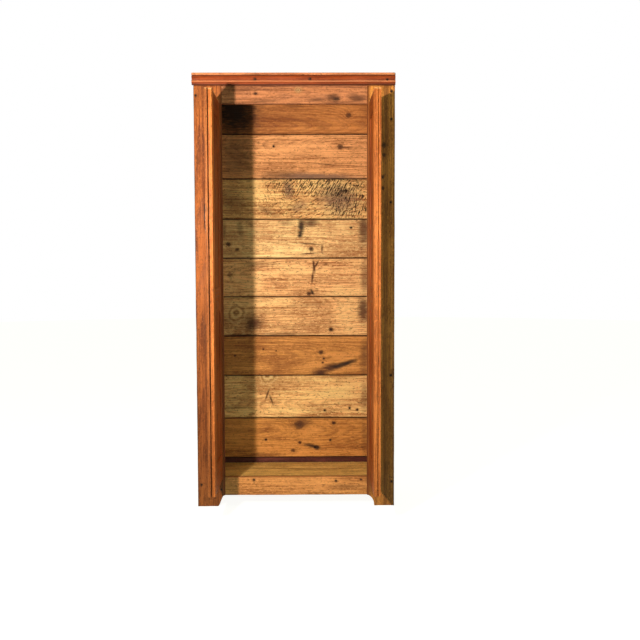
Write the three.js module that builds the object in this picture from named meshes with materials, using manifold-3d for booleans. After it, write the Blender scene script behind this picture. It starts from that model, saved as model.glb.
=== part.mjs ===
// A tall two-door cupboard in reclaimed pine, standing with both doors open at a right angle.
//
// The case is a box of boards: a face frame of two stiles and two rails in front, two boards
// for each side, nine horizontal boards and a dark sill behind, a top board with a moulding
// under its front edge, and a two-board floor. Battens join the boards inside. Each door is a
// framed and panelled leaf that laps over the front of the face frame and swings on three butt
// hinges. The doors meet in the middle in a rebate, and the left one carries the pull.
//
// Millimetres, +Z up. The front faces -Y. The case is drawn with the front of its face frame
// at y = 0 and then moved, so that the origin is the middle of the footprint on the floor.

import * as THREE from 'three';
import { mergeVertices } from 'three/addons/utils/BufferGeometryUtils.js';
import Module from 'manifold-3d';

const wasm = await Module();
wasm.setup();

// ---- Driving dimensions ----

const caseWidth = 900;
const caseHeight = 1955;
const boardGap = 0.3; // between boards that touch

// Face frame
const frameThickness = 22;
const stileWidth = 125;
const footHeight = 51;
const floorTop = 136;
const topRailBottom = 1821;
const frameTenon = { length: 40, thickness: 8, shoulder: 12 };

// Feet: how far each foot is narrower at the floor than its stile
const leftFootInset = 32;
const rightFootInset = 34;

// Sides, floor, top and cornice
const sideThickness = 22;
const floorThickness = 18;
const topThickness = 11.5;
const topOverhang = 26;
const topCornerRadius = 10;
const moulding = { bottom: 1904, depth: 22, baseHeight: 8, baseInset: 7, beadRadius: 4.8 };
const sideFootLength = 58;
const sideFootCurve = 36;

// Back
const backInset = 304; // from the front of the face frame to the face of the back boards
const backThickness = 18;
const backJoints = [160, 356, 565.5, 758.5, 949.5, 1136, 1323.5, 1517, 1730];
const sillThickness = 12;

// Battens inside, under the floor, at mid height and under the top
const battenThickness = 22;
const battenHeight = 42;
const middleBattenBottom = 985;

// Doors
const doorThickness = 29;
const doorBottom = 132;
const doorTop = 1830;
const openDoorFace = 333; // from the middle of the case to an open door's inner face
const closedGap = 0.5; // between a closed door and the face frame
const meetingRebate = { depth: 18, overlap: 4, clearance: 1.5, slack: 0.8 };
const doorStileWidth = 75;
const doorTopRail = 85;
const doorLockRail = { bottom: 905, height: 105 };
const doorBottomRail = 125;
const doorTenon = { length: 42, thickness: 9, shoulder: 14 };
const panel = { inset: 3, thickness: 12, tongue: 9 };

// Hinges
const barrelRadius = 5;
const pinRadius = 2;
const boreRadius = 2.08; // a running clearance round the pin
const hingeLength = 75;
const middleKnuckle = 30;
const knuckleGap = 0.5;
const leafThickness = 2;
const leafReach = 21;
const hingeHeights = [330, 977, 1625];

// Pull on the left door
const pull = { bottom: 1232, height: 150, width: 28, thickness: 2.5, fromEdge: 12 };
const grip = { height: 104, width: 11, rise: 6.2 };

// ---- Derived places ----

const halfWidth = caseWidth / 2;
const openingHalf = halfWidth - stileWidth;
const sideInner = halfWidth - sideThickness;
const frameTop = caseHeight - topThickness - boardGap;
const boardFront = frameThickness + boardGap;
const boardRear = backInset - boardGap;
const boardMiddle = (boardFront + boardRear) / 2;
const caseRear = backInset + backThickness;

const pinOffset = barrelRadius + boardGap;
const pinX = openDoorFace + pinOffset - closedGap;
const hingeEdgeY = -2 * pinOffset; // an open door's hinge edge
const doorHalf = pinX - pinOffset; // a closed door's hinge edge, from the middle of the case
const doorRise = doorTop - doorBottom;

// ---- Materials ----

function wood(colour) {
  return new THREE.MeshStandardMaterial({ color: colour, roughness: 0.55, metalness: 0, flatShading: true });
}

function iron(colour) {
  return new THREE.MeshStandardMaterial({ color: colour, roughness: 0.5, metalness: 0.9, flatShading: true });
}

const frontPine = wood(0xc07a42);
const corniceRed = wood(0xa2522a);
const sidePine = wood(0xa9703c);
const palePine = wood(0xc89a5c);
const orangePine = wood(0xb06c3a);
const sillStain = wood(0x4a2020);
const floorPine = wood(0xa8743c);
const doorPine = wood(0xb0662e);
const hingeSteel = iron(0x4c4640);
const pullIron = iron(0x5a4e48);

// ---- Solids ----

function block([x0, x1], [y0, y1], [z0, z1]) {
  const geometry = new THREE.BoxGeometry(Math.abs(x1 - x0), Math.abs(y1 - y0), Math.abs(z1 - z0));
  return geometry.translate((x0 + x1) / 2, (y0 + y1) / 2, (z0 + z1) / 2);
}

function extrude(shape, depth) {
  return new THREE.ExtrudeGeometry(shape, { depth, bevelEnabled: false, curveSegments: 6 });
}

// An outline of x and z, as deep as a board along y.
function extrudeAlongY(shape, y0, y1) {
  const geometry = extrude(shape, y1 - y0);
  return geometry.rotateX(Math.PI / 2).translate(0, y1, 0);
}

// An outline of y and z, drawn out along x.
function extrudeAlongX(shape, x0, x1) {
  const geometry = extrude(shape, x1 - x0);
  const yIsX = new THREE.Vector3(0, 1, 0);
  const zIsY = new THREE.Vector3(0, 0, 1);
  const xIsZ = new THREE.Vector3(1, 0, 0);
  geometry.applyMatrix4(new THREE.Matrix4().makeBasis(yIsX, zIsY, xIsZ));
  return geometry.translate(x0, 0, 0);
}

// A cylinder standing on z0, round a vertical axis.
function barrel(x, y, radius, z0, z1) {
  const geometry = new THREE.CylinderGeometry(radius, radius, z1 - z0, 14);
  return geometry.rotateX(Math.PI / 2).translate(x, y, (z0 + z1) / 2);
}

function solidOf(geometry) {
  const bare = geometry.clone();
  bare.deleteAttribute('normal');
  bare.deleteAttribute('uv');
  const welded = mergeVertices(bare);
  const vertProperties = new Float32Array(welded.getAttribute('position').array);
  const triVerts = new Uint32Array(welded.getIndex().array);
  return new wasm.Manifold(new wasm.Mesh({ numProp: 3, vertProperties, triVerts }));
}

function geometryOf(solid) {
  const { vertProperties, triVerts } = solid.getMesh();
  const geometry = new THREE.BufferGeometry();
  geometry.setAttribute('position', new THREE.BufferAttribute(vertProperties, 3));
  geometry.setIndex(new THREE.BufferAttribute(triVerts, 1));
  geometry.computeVertexNormals();
  return geometry;
}

function join(first, ...others) {
  return geometryOf(others.reduce((solid, other) => solid.add(solidOf(other)), solidOf(first)));
}

function cut(first, ...tools) {
  return geometryOf(tools.reduce((solid, tool) => solid.subtract(solidOf(tool)), solidOf(first)));
}

const caseGroup = new THREE.Group();

function add(name, geometry, material) {
  const mesh = new THREE.Mesh(geometry, material);
  mesh.name = name;
  caseGroup.add(mesh);
}

// ---- Face frame ----

// A slot in a stile that takes a rail's tenon, a gap wider all round.
function frameMortise(side, railBottom, railTop) {
  const { length, thickness, shoulder } = frameTenon;
  const middle = frameThickness / 2;
  const half = thickness / 2 + boardGap;
  return block(
    [side * (openingHalf - 1), side * (openingHalf + length + boardGap)],
    [middle - half, middle + half],
    [railBottom + shoulder - boardGap, railTop - shoulder + boardGap],
  );
}

// A rail between the stiles, with a tenon at each end.
function frameRail(railBottom, railTop) {
  const { length, thickness, shoulder } = frameTenon;
  const middle = frameThickness / 2;
  const reach = openingHalf + length;
  const bodyHalf = openingHalf - boardGap;
  const body = block([-bodyHalf, bodyHalf], [0, frameThickness], [railBottom, railTop]);
  const tenons = block(
    [-reach, reach],
    [middle - thickness / 2, middle + thickness / 2],
    [railBottom + shoulder, railTop - shoulder],
  );
  return join(body, tenons);
}

// The left foot is cut back in a straight slant with a small round at its top.
function leftStileOutline() {
  const shape = new THREE.Shape();
  shape.moveTo(-halfWidth, 0);
  shape.lineTo(-openingHalf - leftFootInset, 0);
  shape.lineTo(-openingHalf - leftFootInset / 3, footHeight - 5);
  shape.quadraticCurveTo(-openingHalf - leftFootInset / 4, footHeight, -openingHalf, footHeight + 1);
  shape.lineTo(-openingHalf, frameTop);
  shape.lineTo(-halfWidth, frameTop);
  shape.closePath();
  return shape;
}

// The right foot is cut back in a hollow curve.
function rightStileOutline() {
  const shape = new THREE.Shape();
  shape.moveTo(halfWidth, 0);
  shape.lineTo(halfWidth, frameTop);
  shape.lineTo(openingHalf, frameTop);
  shape.lineTo(openingHalf, footHeight);
  const footEdge = openingHalf + rightFootInset;
  shape.quadraticCurveTo(openingHalf + rightFootInset * 0.75, footHeight - 4, footEdge, 0);
  shape.closePath();
  return shape;
}

function addFaceFrame() {
  const rails = [
    ['bottom_rail', footHeight, floorTop],
    ['top_rail', topRailBottom, frameTop],
  ];
  const stiles = [
    ['left_stile', -1, leftStileOutline()],
    ['right_stile', 1, rightStileOutline()],
  ];
  for (const [name, side, outline] of stiles) {
    const mortises = rails.map(([, bottom, top]) => frameMortise(side, bottom, top));
    add(name, cut(extrudeAlongY(outline, 0, frameThickness), ...mortises), frontPine);
  }
  for (const [name, bottom, top] of rails) {
    add(name, frameRail(bottom, top), frontPine);
  }
}

// ---- Sides ----

// A side board stands on a foot at its outer edge, and is cut away below in a hollow curve
// where it meets its neighbour. towards is +1 if the foot is at yFoot and the board runs back.
function sideBoardOutline(yFoot, yJoint, towards) {
  const shape = new THREE.Shape();
  const footEnd = yFoot + towards * sideFootLength;
  const curveEnd = footEnd + towards * sideFootCurve;
  shape.moveTo(yFoot, 0);
  shape.lineTo(footEnd, 0);
  shape.quadraticCurveTo(footEnd, footHeight, curveEnd, footHeight);
  shape.lineTo(yJoint, footHeight);
  shape.lineTo(yJoint, frameTop);
  shape.lineTo(yFoot, frameTop);
  shape.closePath();
  return shape;
}

function addSide(label, side) {
  const [x0, x1] = side < 0 ? [-halfWidth, -sideInner] : [sideInner, halfWidth];
  const front = sideBoardOutline(boardFront, boardMiddle - boardGap / 2, 1);
  const rear = sideBoardOutline(boardRear, boardMiddle + boardGap / 2, -1);
  add(`${label}_side_front_board`, extrudeAlongX(front, x0, x1), sidePine);
  add(`${label}_side_rear_board`, extrudeAlongX(rear, x0, x1), sidePine);

  const battens = [
    ['floor', floorTop - floorThickness - boardGap - battenHeight],
    ['middle', middleBattenBottom],
    ['top', frameTop - battenHeight],
  ];
  const inner = side * (sideInner - boardGap);
  for (const [place, bottom] of battens) {
    const span = [inner - side * battenThickness, inner];
    const rise = [bottom, bottom + battenHeight];
    add(`${label}_${place}_batten`, block(span, [boardFront, boardRear], rise), sidePine);
  }
}

// ---- Back, floor, top and cornice ----

function addBack() {
  const tops = [...backJoints.slice(1), frameTop];
  const orange = new Set([1, 7, 9]);
  backJoints.forEach((bottom, index) => {
    const number = backJoints.length - index; // counted down from the top
    const rise = [bottom + boardGap, tops[index]];
    const board = block([-halfWidth, halfWidth], [backInset, caseRear], rise);
    add(`back_board_${number}`, board, orange.has(number) ? orangePine : palePine);
  });
  const sillRise = [footHeight, backJoints[0] - boardGap];
  const sill = block([-halfWidth, halfWidth], [caseRear - sillThickness, caseRear], sillRise);
  add('rear_sill_board', sill, sillStain);
}

function addFloor() {
  const span = [-sideInner + boardGap, sideInner - boardGap];
  const rise = [floorTop - floorThickness, floorTop];
  add('floor_front_board', block(span, [boardFront, boardMiddle - boardGap / 2], rise), floorPine);
  add('floor_rear_board', block(span, [boardMiddle + boardGap / 2, boardRear], rise), floorPine);
}

// The top board's right front corner is worn round.
function addTopBoard() {
  const shape = new THREE.Shape();
  shape.moveTo(-halfWidth, -topOverhang);
  shape.lineTo(halfWidth - topCornerRadius, -topOverhang);
  shape.absarc(halfWidth - topCornerRadius, -topOverhang + topCornerRadius, topCornerRadius, -Math.PI / 2, 0);
  shape.lineTo(halfWidth, caseRear);
  shape.lineTo(-halfWidth, caseRear);
  shape.closePath();
  const geometry = extrude(shape, topThickness);
  add('top_board', geometry.translate(0, 0, caseHeight - topThickness), frontPine);
}

// From the top down: a shallow hollow face, a bead, and a narrow base set back under it.
function addCornice() {
  const { bottom, depth, baseHeight, baseInset, beadRadius } = moulding;
  const beadBottom = bottom + baseHeight;
  const beadFace = -depth + beadRadius;
  const shape = new THREE.Shape();
  shape.moveTo(-boardGap, bottom);
  shape.lineTo(-depth + baseInset, bottom);
  shape.lineTo(-depth + baseInset, beadBottom);
  shape.lineTo(beadFace, beadBottom);
  shape.absarc(beadFace, beadBottom + beadRadius, beadRadius, -Math.PI / 2, Math.PI / 2, true);
  shape.quadraticCurveTo(beadFace + 1, (beadBottom + frameTop) / 2, -depth, frameTop);
  shape.lineTo(-boardGap, frameTop);
  shape.closePath();
  add('cornice_moulding', extrudeAlongX(shape, -halfWidth, halfWidth), corniceRed);
}

// ---- Doors ----

// A door is drawn open. u runs from its hinge edge to its meeting edge, and v from its inner
// face to its outer face.
function doorBlock(side, [u0, u1], [v0, v1], rise) {
  const x = [side * (openDoorFace + v0), side * (openDoorFace + v1)];
  const y = [hingeEdgeY - u0, hingeEdgeY - u1];
  return block(x, y, rise);
}

const doorRails = [
  ['bottom', doorBottom, doorBottom + doorBottomRail],
  ['lock', doorLockRail.bottom, doorLockRail.bottom + doorLockRail.height],
  ['top', doorTop - doorTopRail, doorTop],
];
const stileEdgeU = doorHalf - doorStileWidth; // inner edge of the meeting stile
const panelFace = [panel.inset, panel.inset + panel.thickness];
const grooveFace = [panelFace[0] - boardGap, panelFace[1] + boardGap];
const tenonFace = [
  (doorThickness - doorTenon.thickness) / 2,
  (doorThickness + doorTenon.thickness) / 2,
];
const mortiseFace = [tenonFace[0] - boardGap, tenonFace[1] + boardGap];

// The groove that runs the length of a stile's inner edge, and a mortise for each rail.
function stileCuts(side, edge, inwards) {
  const rise = [doorBottom - 1, doorTop + 1];
  const groove = doorBlock(side, [edge - inwards, edge + inwards * panel.tongue], grooveFace, rise);
  const mortises = doorRails.map(([, bottom, top]) => doorBlock(
    side,
    [edge - inwards, edge + inwards * (doorTenon.length + boardGap)],
    mortiseFace,
    [bottom + doorTenon.shoulder - boardGap, top - doorTenon.shoulder + boardGap],
  ));
  return [groove, ...mortises];
}

// The left door's outer half laps over the right door's inner half where the two meet.
function meetingStile(side) {
  const { depth, overlap, clearance, slack } = meetingRebate;
  const whole = [stileEdgeU, doorHalf + overlap];
  const step = [doorHalf - overlap - clearance, doorHalf + overlap + 1];
  const lapped = side < 0 ? [-1, depth] : [depth - slack, doorThickness + 1];
  const rise = [doorBottom, doorTop];
  const rebate = doorBlock(side, step, lapped, [doorBottom - 1, doorTop + 1]);
  const blank = doorBlock(side, whole, [0, doorThickness], rise);
  return cut(blank, rebate, ...stileCuts(side, stileEdgeU, 1));
}

function doorRail(side, bottom, top) {
  const body = [doorStileWidth + boardGap, stileEdgeU - boardGap];
  const tenon = [doorStileWidth - doorTenon.length, stileEdgeU + doorTenon.length];
  const blank = join(
    doorBlock(side, body, [0, doorThickness], [bottom, top]),
    doorBlock(side, tenon, tenonFace, [bottom + doorTenon.shoulder, top - doorTenon.shoulder]),
  );
  const grooves = [];
  if (bottom > doorBottom) {
    grooves.push(doorBlock(side, body, grooveFace, [bottom - 1, bottom + panel.tongue]));
  }
  if (top < doorTop) {
    grooves.push(doorBlock(side, body, grooveFace, [top - panel.tongue, top + 1]));
  }
  return cut(blank, ...grooves);
}

// A panel stands in the grooves with a little room to move.
function doorPanel(side, below, above) {
  const room = panel.tongue - 1;
  return doorBlock(
    side,
    [doorStileWidth - room, stileEdgeU + room],
    panelFace,
    [below - room, above + room],
  );
}

function addDoor(label, side) {
  const hingeStile = doorBlock(side, [0, doorStileWidth], [0, doorThickness], [doorBottom, doorTop]);
  add(`${label}_door_hinge_stile`, cut(hingeStile, ...stileCuts(side, doorStileWidth, -1)), doorPine);
  add(`${label}_door_meeting_stile`, meetingStile(side), doorPine);
  for (const [place, bottom, top] of doorRails) {
    add(`${label}_door_${place}_rail`, doorRail(side, bottom, top), doorPine);
  }
  const [bottomRail, lockRail, topRail] = doorRails;
  add(`${label}_door_lower_panel`, doorPanel(side, bottomRail[2], lockRail[1]), doorPine);
  add(`${label}_door_upper_panel`, doorPanel(side, lockRail[2], topRail[1]), doorPine);
}

// ---- Hinges ----

// The frame leaf lies on the stile and holds the pin in its two outer knuckles. The door leaf
// lies on the door's hinge edge, with the middle knuckle turning on the pin.
function addHinge(name, side, middle) {
  const x = side * pinX;
  const y = -pinOffset;
  const bottom = middle - hingeLength / 2;
  const top = middle + hingeLength / 2;
  const knuckleBottom = middle - middleKnuckle / 2;
  const knuckleTop = middle + middleKnuckle / 2;
  const far = side * (pinX + leafReach);
  const clear = side * (barrelRadius + knuckleGap);

  const frameFace = [-boardGap - leafThickness, -boardGap];
  const notchRise = [knuckleBottom - knuckleGap, knuckleTop + knuckleGap];
  const frameNotch = block([x - side, x + clear], [-4, 1], notchRise);
  const frameLeaf = join(
    cut(block([x, far], frameFace, [bottom, top]), frameNotch),
    barrel(x, y, barrelRadius, bottom, knuckleBottom - knuckleGap),
    barrel(x, y, barrelRadius, knuckleTop + knuckleGap, top),
    barrel(x, y, pinRadius, bottom, top),
  );
  add(`${name}_frame_leaf`, frameLeaf, hingeSteel);

  const doorFace = [hingeEdgeY + boardGap, hingeEdgeY + boardGap + leafThickness];
  const [low, high] = doorFace;
  const doorPlate = cut(
    block([x, far], doorFace, [bottom, top]),
    block([x - side, x + clear], [low - 1, high + 1], [bottom - 1, knuckleBottom]),
    block([x - side, x + clear], [low - 1, high + 1], [knuckleTop, top + 1]),
  );
  const doorLeaf = cut(
    join(doorPlate, barrel(x, y, barrelRadius, knuckleBottom, knuckleTop)),
    barrel(x, y, boreRadius, knuckleBottom - 1, knuckleTop + 1),
  );
  add(`${name}_door_leaf`, doorLeaf, hingeSteel);
}

// ---- Pull ----

// A slim iron plate on the left door's outer face, with a low rounded grip.
function addPull() {
  const face = -(openDoorFace + doorThickness + boardGap);
  const plateOuter = face - pull.thickness;
  const edgeY = hingeEdgeY - doorHalf;
  const y = [edgeY + pull.fromEdge, edgeY + pull.fromEdge + pull.width];
  add('pull_plate', block([plateOuter, face], y, [pull.bottom, pull.bottom + pull.height]), pullIron);

  const foot = plateOuter - boardGap;
  const middle = pull.bottom + pull.height / 2;
  const half = grip.height / 2;
  const shape = new THREE.Shape();
  shape.moveTo(foot, middle - half);
  shape.quadraticCurveTo(foot - grip.rise, middle - half, foot - grip.rise, middle - half / 2);
  shape.lineTo(foot - grip.rise, middle + half / 2);
  shape.quadraticCurveTo(foot - grip.rise, middle + half, foot, middle + half);
  shape.closePath();
  const gripY = (y[0] + y[1] - grip.width) / 2;
  add('pull_grip', extrudeAlongY(shape, gripY, gripY + grip.width), pullIron);
}

// ---- Assembly ----

addFaceFrame();
addSide('left', -1);
addSide('right', 1);
addBack();
addFloor();
addTopBoard();
addCornice();
for (const [label, side] of [['left', -1], ['right', 1]]) {
  addDoor(label, side);
  ['lower', 'middle', 'upper'].forEach((place, index) => {
    addHinge(`${label}_${place}_hinge`, side, hingeHeights[index]);
  });
}
addPull();

// The footprint runs from the open doors' meeting edges to the back of the case.
const footprintFront = hingeEdgeY - doorHalf - meetingRebate.overlap;
caseGroup.position.y = -(footprintFront + caseRear) / 2;

const cupboard = new THREE.Group();
cupboard.name = 'two_door_cupboard';
cupboard.add(caseGroup);

export default cupboard;
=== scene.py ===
"""A tall two-door cupboard in reclaimed pine: old boards, worn edges, iron hinges.

Each CAD board is replaced by a worn board in the same place. Metres, +Z up, front towards -Y.
"""

import random
from math import cos, pi, radians, sin

import bmesh
import bpy
from mathutils import Euler, Matrix, Vector, noise


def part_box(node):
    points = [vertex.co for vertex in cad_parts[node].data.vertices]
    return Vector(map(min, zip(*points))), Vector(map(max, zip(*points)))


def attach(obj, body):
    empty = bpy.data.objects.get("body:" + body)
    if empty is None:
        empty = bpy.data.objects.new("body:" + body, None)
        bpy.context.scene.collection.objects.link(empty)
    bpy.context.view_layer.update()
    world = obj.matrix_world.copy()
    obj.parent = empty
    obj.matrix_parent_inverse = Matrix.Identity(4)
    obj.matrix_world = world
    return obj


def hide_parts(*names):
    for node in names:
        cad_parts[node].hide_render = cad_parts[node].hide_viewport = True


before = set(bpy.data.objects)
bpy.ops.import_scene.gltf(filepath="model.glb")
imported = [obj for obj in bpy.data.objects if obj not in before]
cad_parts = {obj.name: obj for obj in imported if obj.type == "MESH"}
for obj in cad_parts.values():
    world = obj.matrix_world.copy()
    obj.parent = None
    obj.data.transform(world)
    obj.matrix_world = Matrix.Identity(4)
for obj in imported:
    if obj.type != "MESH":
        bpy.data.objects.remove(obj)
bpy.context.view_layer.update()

X, Y, Z = 0, 1, 2


def node_box(node):
    low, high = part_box(node)
    return Vector(low), Vector(high)


FACE = node_box("left_stile")[0].y  # front of the face frame

CAMERA_PLACE = (0.069, FACE - 4.08, 1.1235)
CAMERA_LENS = 50.75
CAMERA_TILT, CAMERA_PAN, CAMERA_ROLL = -3.76, -0.6, -0.16  # degrees

# Name, place, target, size, power, tint: a small warm sun, its greenish bounce, a soft ceiling.
LAMPS = (
    ("key", (-0.7, FACE - 2.1, 1.4), (0, FACE, 1.45), 0.08, 65, (1.0, 0.92, 0.78)),
    ("reflector", (1.3, FACE - 2.6, 0.8), (-0.1, FACE + 0.3, 0.9), 1.6, 14, (0.8, 1.0, 0.84)),
    ("overhead", (0, FACE - 0.6, 4.2), (0, FACE - 0.3, 0), 3.2, 36, (0.9, 1.0, 0.88)),
)
FILL_IN_FRONT, FILL_BEHIND, FILL_STRENGTH = (0.68, 1.0, 0.66, 1), (1.0, 0.9, 0.8, 1), 0.31


# ---- Shader building ----


def rgb(red, green, blue):
    """A display colour, 0 to 255 a channel, as the linear colour that shaders use."""
    linear = [((c / 255 + 0.055) / 1.055) ** 2.4 if c > 10 else c / 255 / 12.92 for c in (red, green, blue)]
    return (*linear, 1)


class Nodes:
    """Adds nodes to a tree. Most methods give back the new node's output."""

    def __init__(self, tree):
        self.tree = tree

    def feed(self, sockets, values):
        """Sets sockets, by name or by number, to numbers and colours or to other nodes' outputs."""
        for name, value in values.items():
            if isinstance(value, bpy.types.NodeSocket):
                self.tree.links.new(value, sockets[name])
            else:
                sockets[name].default_value = value

    def new(self, kind, inputs=None, **settings):
        """A new node. Gives back all its outputs."""
        node = self.tree.nodes.new(f"ShaderNode{kind}")
        for name, value in settings.items():
            setattr(node, name, value)
        self.feed(node.inputs, inputs or {})
        return node.outputs

    def math(self, operation, a, b=0.0):
        return self.new("Math", {0: a, 1: b}, operation=operation)[0]

    def add(self, *terms):
        total = terms[0]
        for term in terms[1:]:
            total = self.math("ADD", total, term)
        return total

    def times(self, a, b):
        return self.math("MULTIPLY", a, b)

    def minus(self, a, b):
        return self.math("SUBTRACT", a, b)

    def over(self, a, b):
        return self.math("DIVIDE", a, b)

    def smooth(self, value, low, high):
        """0 below low, 1 above high, with a smooth step between."""
        inputs = {"Value": value, "From Min": low, "From Max": high}
        return self.new("MapRange", inputs, interpolation_type="SMOOTHSTEP")[0]

    def fade(self, value, low, high):
        """1 below low, 0 above high."""
        return self.minus(1.0, self.smooth(value, low, high))

    def object_place(self):
        return self.new("TexCoord")["Object"]

    def split(self, vector):
        return self.new("SeparateXYZ", {0: vector})

    def vector(self, x, y, z):
        return self.new("CombineXYZ", {0: x, 1: y, 2: z})[0]

    def noise(self, vector, scale=1.0, detail=2.0, roughness=0.5):
        """Noise from 0 to 1, about 0.5."""
        inputs = {"Vector": vector, "Scale": scale, "Detail": detail, "Roughness": roughness}
        return self.new("TexNoise", inputs)[0]

    def distance(self, a, b):
        return self.math("SQRT", self.add(self.times(a, a), self.times(b, b)))

    def turned(self, a, b, angle):
        """A place (a, b) on axes that are turned by an angle."""
        turn_cos, turn_sin = self.math("COSINE", angle), self.math("SINE", angle)
        u = self.add(self.times(a, turn_cos), self.times(b, turn_sin))
        v = self.minus(self.times(b, turn_cos), self.times(a, turn_sin))
        return u, v

    def bell(self, value, width):
        """1 at value 0, falling away over width."""
        ratio = self.over(value, width)
        return self.math("EXPONENT", self.times(self.times(ratio, ratio), -1.0))

    def mix(self, factor, a, b, blend="MIX"):
        return self.new("Mix", {0: factor, 6: a, 7: b}, data_type="RGBA", blend_type=blend)[2]

    def bump(self, height, strength, distance):
        return self.new("Bump", {"Height": height, "Strength": strength, "Distance": distance})[0]

    def group(self, tree, **values):
        return self.new("Group", values, node_tree=tree)


def new_group(name, inputs, outputs):
    tree = bpy.data.node_groups.new(name, "ShaderNodeTree")
    for labels, way in ((inputs, "INPUT"), (outputs, "OUTPUT")):
        for label in labels:
            tree.interface.new_socket(label, in_out=way, socket_type="NodeSocketFloat")
    given = tree.nodes.new("NodeGroupInput").outputs
    result = tree.nodes.new("NodeGroupOutput").inputs
    return tree, Nodes(tree), given, result


def new_material(name):
    """A material, its nodes, and the sockets of its surface."""
    material = bpy.data.materials.new(name)
    material.use_nodes = True
    return material, Nodes(material.node_tree), material.node_tree.nodes["Principled BSDF"].inputs


# ---- Camera and light ----


def new_object(name, data):
    thing = bpy.data.objects.new(name, data)
    bpy.context.collection.objects.link(thing)
    return thing


def add_camera():
    data = bpy.data.cameras.new("camera")
    data.sensor_width = 36
    data.lens = CAMERA_LENS
    camera = new_object("camera", data)
    camera.location = CAMERA_PLACE
    aim = Euler((radians(90 + CAMERA_TILT), 0, radians(CAMERA_PAN))).to_matrix()
    roll = Matrix.Rotation(radians(CAMERA_ROLL), 3, "Z")
    camera.rotation_euler = (aim @ roll).to_euler()
    bpy.context.scene.camera = camera


def add_area_light(name, place, target, size, power, colour):
    data = bpy.data.lights.new(name, "AREA")
    data.shape = "DISK"
    data.size = size
    data.energy = power
    data.color = colour
    light = new_object(name, data)
    light.location = place
    light.rotation_euler = (Vector(target) - Vector(place)).to_track_quat("-Z", "Y").to_euler()


def add_world():
    """White for the camera. All else gets a faint fill, greenish in front and warm behind."""
    world = bpy.data.worlds.new("studio")
    world.use_nodes = True
    world.node_tree.nodes.clear()
    n = Nodes(world.node_tree)
    direction = n.split(n.new("TexCoord")["Generated"])
    behind = n.new("MapRange", {"Value": direction[Y], "From Max": 0.5})[0]
    tint = n.mix(behind, FILL_IN_FRONT, FILL_BEHIND)
    fill = n.new("Background", {"Color": tint, "Strength": FILL_STRENGTH})[0]
    white = n.new("Background", {"Color": (1, 1, 1, 1)})[0]
    seen = n.new("MixShader", {0: n.new("LightPath")["Is Camera Ray"], 1: fill, 2: white})[0]
    n.new("OutputWorld", {"Surface": seen})
    bpy.context.scene.world = world


add_camera()
add_world()
for lamp in LAMPS:
    add_area_light(*lamp)
bpy.context.scene.view_settings.view_transform = "Standard"


# ---- Grain, knots and marks ----


def grain_group():
    """Growth rings round a pith that lies slantwise behind the board, cut by its surface."""
    inputs = ("along", "across", "through", "bend", "spacing", "pith", "depth", "slope", "seed")
    outputs = ("ring", "streak", "line", "fibre", "speckle", "cloud", "stain")
    tree, n, given, result = new_group("pine_grain", inputs, outputs)
    along, across, through = given["along"], given["across"], given["through"]
    shifted = n.add(along, given["seed"])

    def stretched(length, width):
        return n.vector(n.times(shifted, length), n.times(across, width), n.times(through, width))

    sway = n.times(n.minus(n.noise(stretched(2.0, 6.0)), 0.5), 0.05)
    ripple = n.times(n.minus(n.noise(stretched(7.0, 40.0)), 0.5), 0.007)
    sideways = n.add(n.minus(across, given["pith"]), sway)
    behind = n.add(through, given["depth"], n.times(given["slope"], along))
    radius = n.add(n.distance(sideways, behind), ripple, given["bend"])
    phase = n.math("FRACT", n.over(radius, given["spacing"]))
    n.feed(result, {"ring": n.times(n.smooth(phase, 0.3, 0.86), n.fade(phase, 0.88, 1.0))})
    for name, length, width, detail, roughness in (
        ("streak", 1.8, 85.0, 3, 0.6),
        ("line", 4.5, 260.0, 3, 0.66),
        ("fibre", 16.0, 1100.0, 3, 0.7),
        ("speckle", 75.0, 150.0, 4, 0.7),
        ("cloud", 4.0, 11.0, 4, 0.6),
        ("stain", 9.0, 22.0, 5, 0.7),
    ):
        n.feed(result, {name: n.noise(stretched(length, width), detail=detail, roughness=roughness)})
    return tree


def knot_group():
    """One knot: how it bends the grain, its dark heart, its rim, and the warm wood round it."""
    inputs = ("along", "across", "at_along", "at_across", "radius")
    outputs = ("bend", "heart", "rim", "halo", "turns", "swirl")
    tree, n, given, result = new_group("pine_knot", inputs, outputs)
    da = n.times(n.minus(given["along"], given["at_along"]), 0.85)
    dc = n.minus(given["across"], given["at_across"])
    place = n.vector(given["along"], given["across"], given["radius"])
    ragged = n.noise(place, scale=90, detail=4, roughness=0.6)
    lumpy = n.noise(place, scale=22, detail=3, roughness=0.6)
    size = n.over(n.distance(da, dc), given["radius"])
    wound = n.times(size, n.add(0.3, n.times(lumpy, 1.4)))
    size = n.times(size, n.add(0.45, n.times(ragged, 1.1)))
    n.feed(result, {
        "bend": n.times(n.bell(size, 2.4), n.times(given["radius"], 1.7)),
        "heart": n.fade(size, 0.35, 1.0),
        "rim": n.times(n.smooth(size, 0.45, 0.85), n.fade(size, 0.9, 1.35)),
        "halo": n.bell(size, 1.7),
        "turns": n.smooth(n.math("SINE", n.times(size, 12.0)), -0.2, 0.9),
        "swirl": n.times(n.math("SINE", n.times(wound, 10.0)), n.bell(wound, 1.1)),
    })
    return tree


def blot_group():
    """A ragged oval mark, which may lie at an angle to the grain."""
    inputs = ("along", "across", "at_along", "at_across", "length", "width", "lean", "ragged")
    tree, n, given, result = new_group("blot", inputs, ("mask",))
    da = n.minus(given["along"], given["at_along"])
    dc = n.minus(given["across"], given["at_across"])
    u, v = n.turned(da, dc, given["lean"])
    drawn_out = n.vector(n.times(given["along"], 0.45), n.times(given["across"], 1.8), given["length"])
    rough = n.noise(drawn_out, scale=60, detail=5, roughness=0.7)
    size = n.distance(n.over(u, given["length"]), n.over(v, given["width"]))
    size = n.add(size, n.times(n.minus(rough, 0.5), given["ragged"]))
    n.feed(result, {"mask": n.fade(size, 0.2, 1.2)})
    return tree


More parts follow.
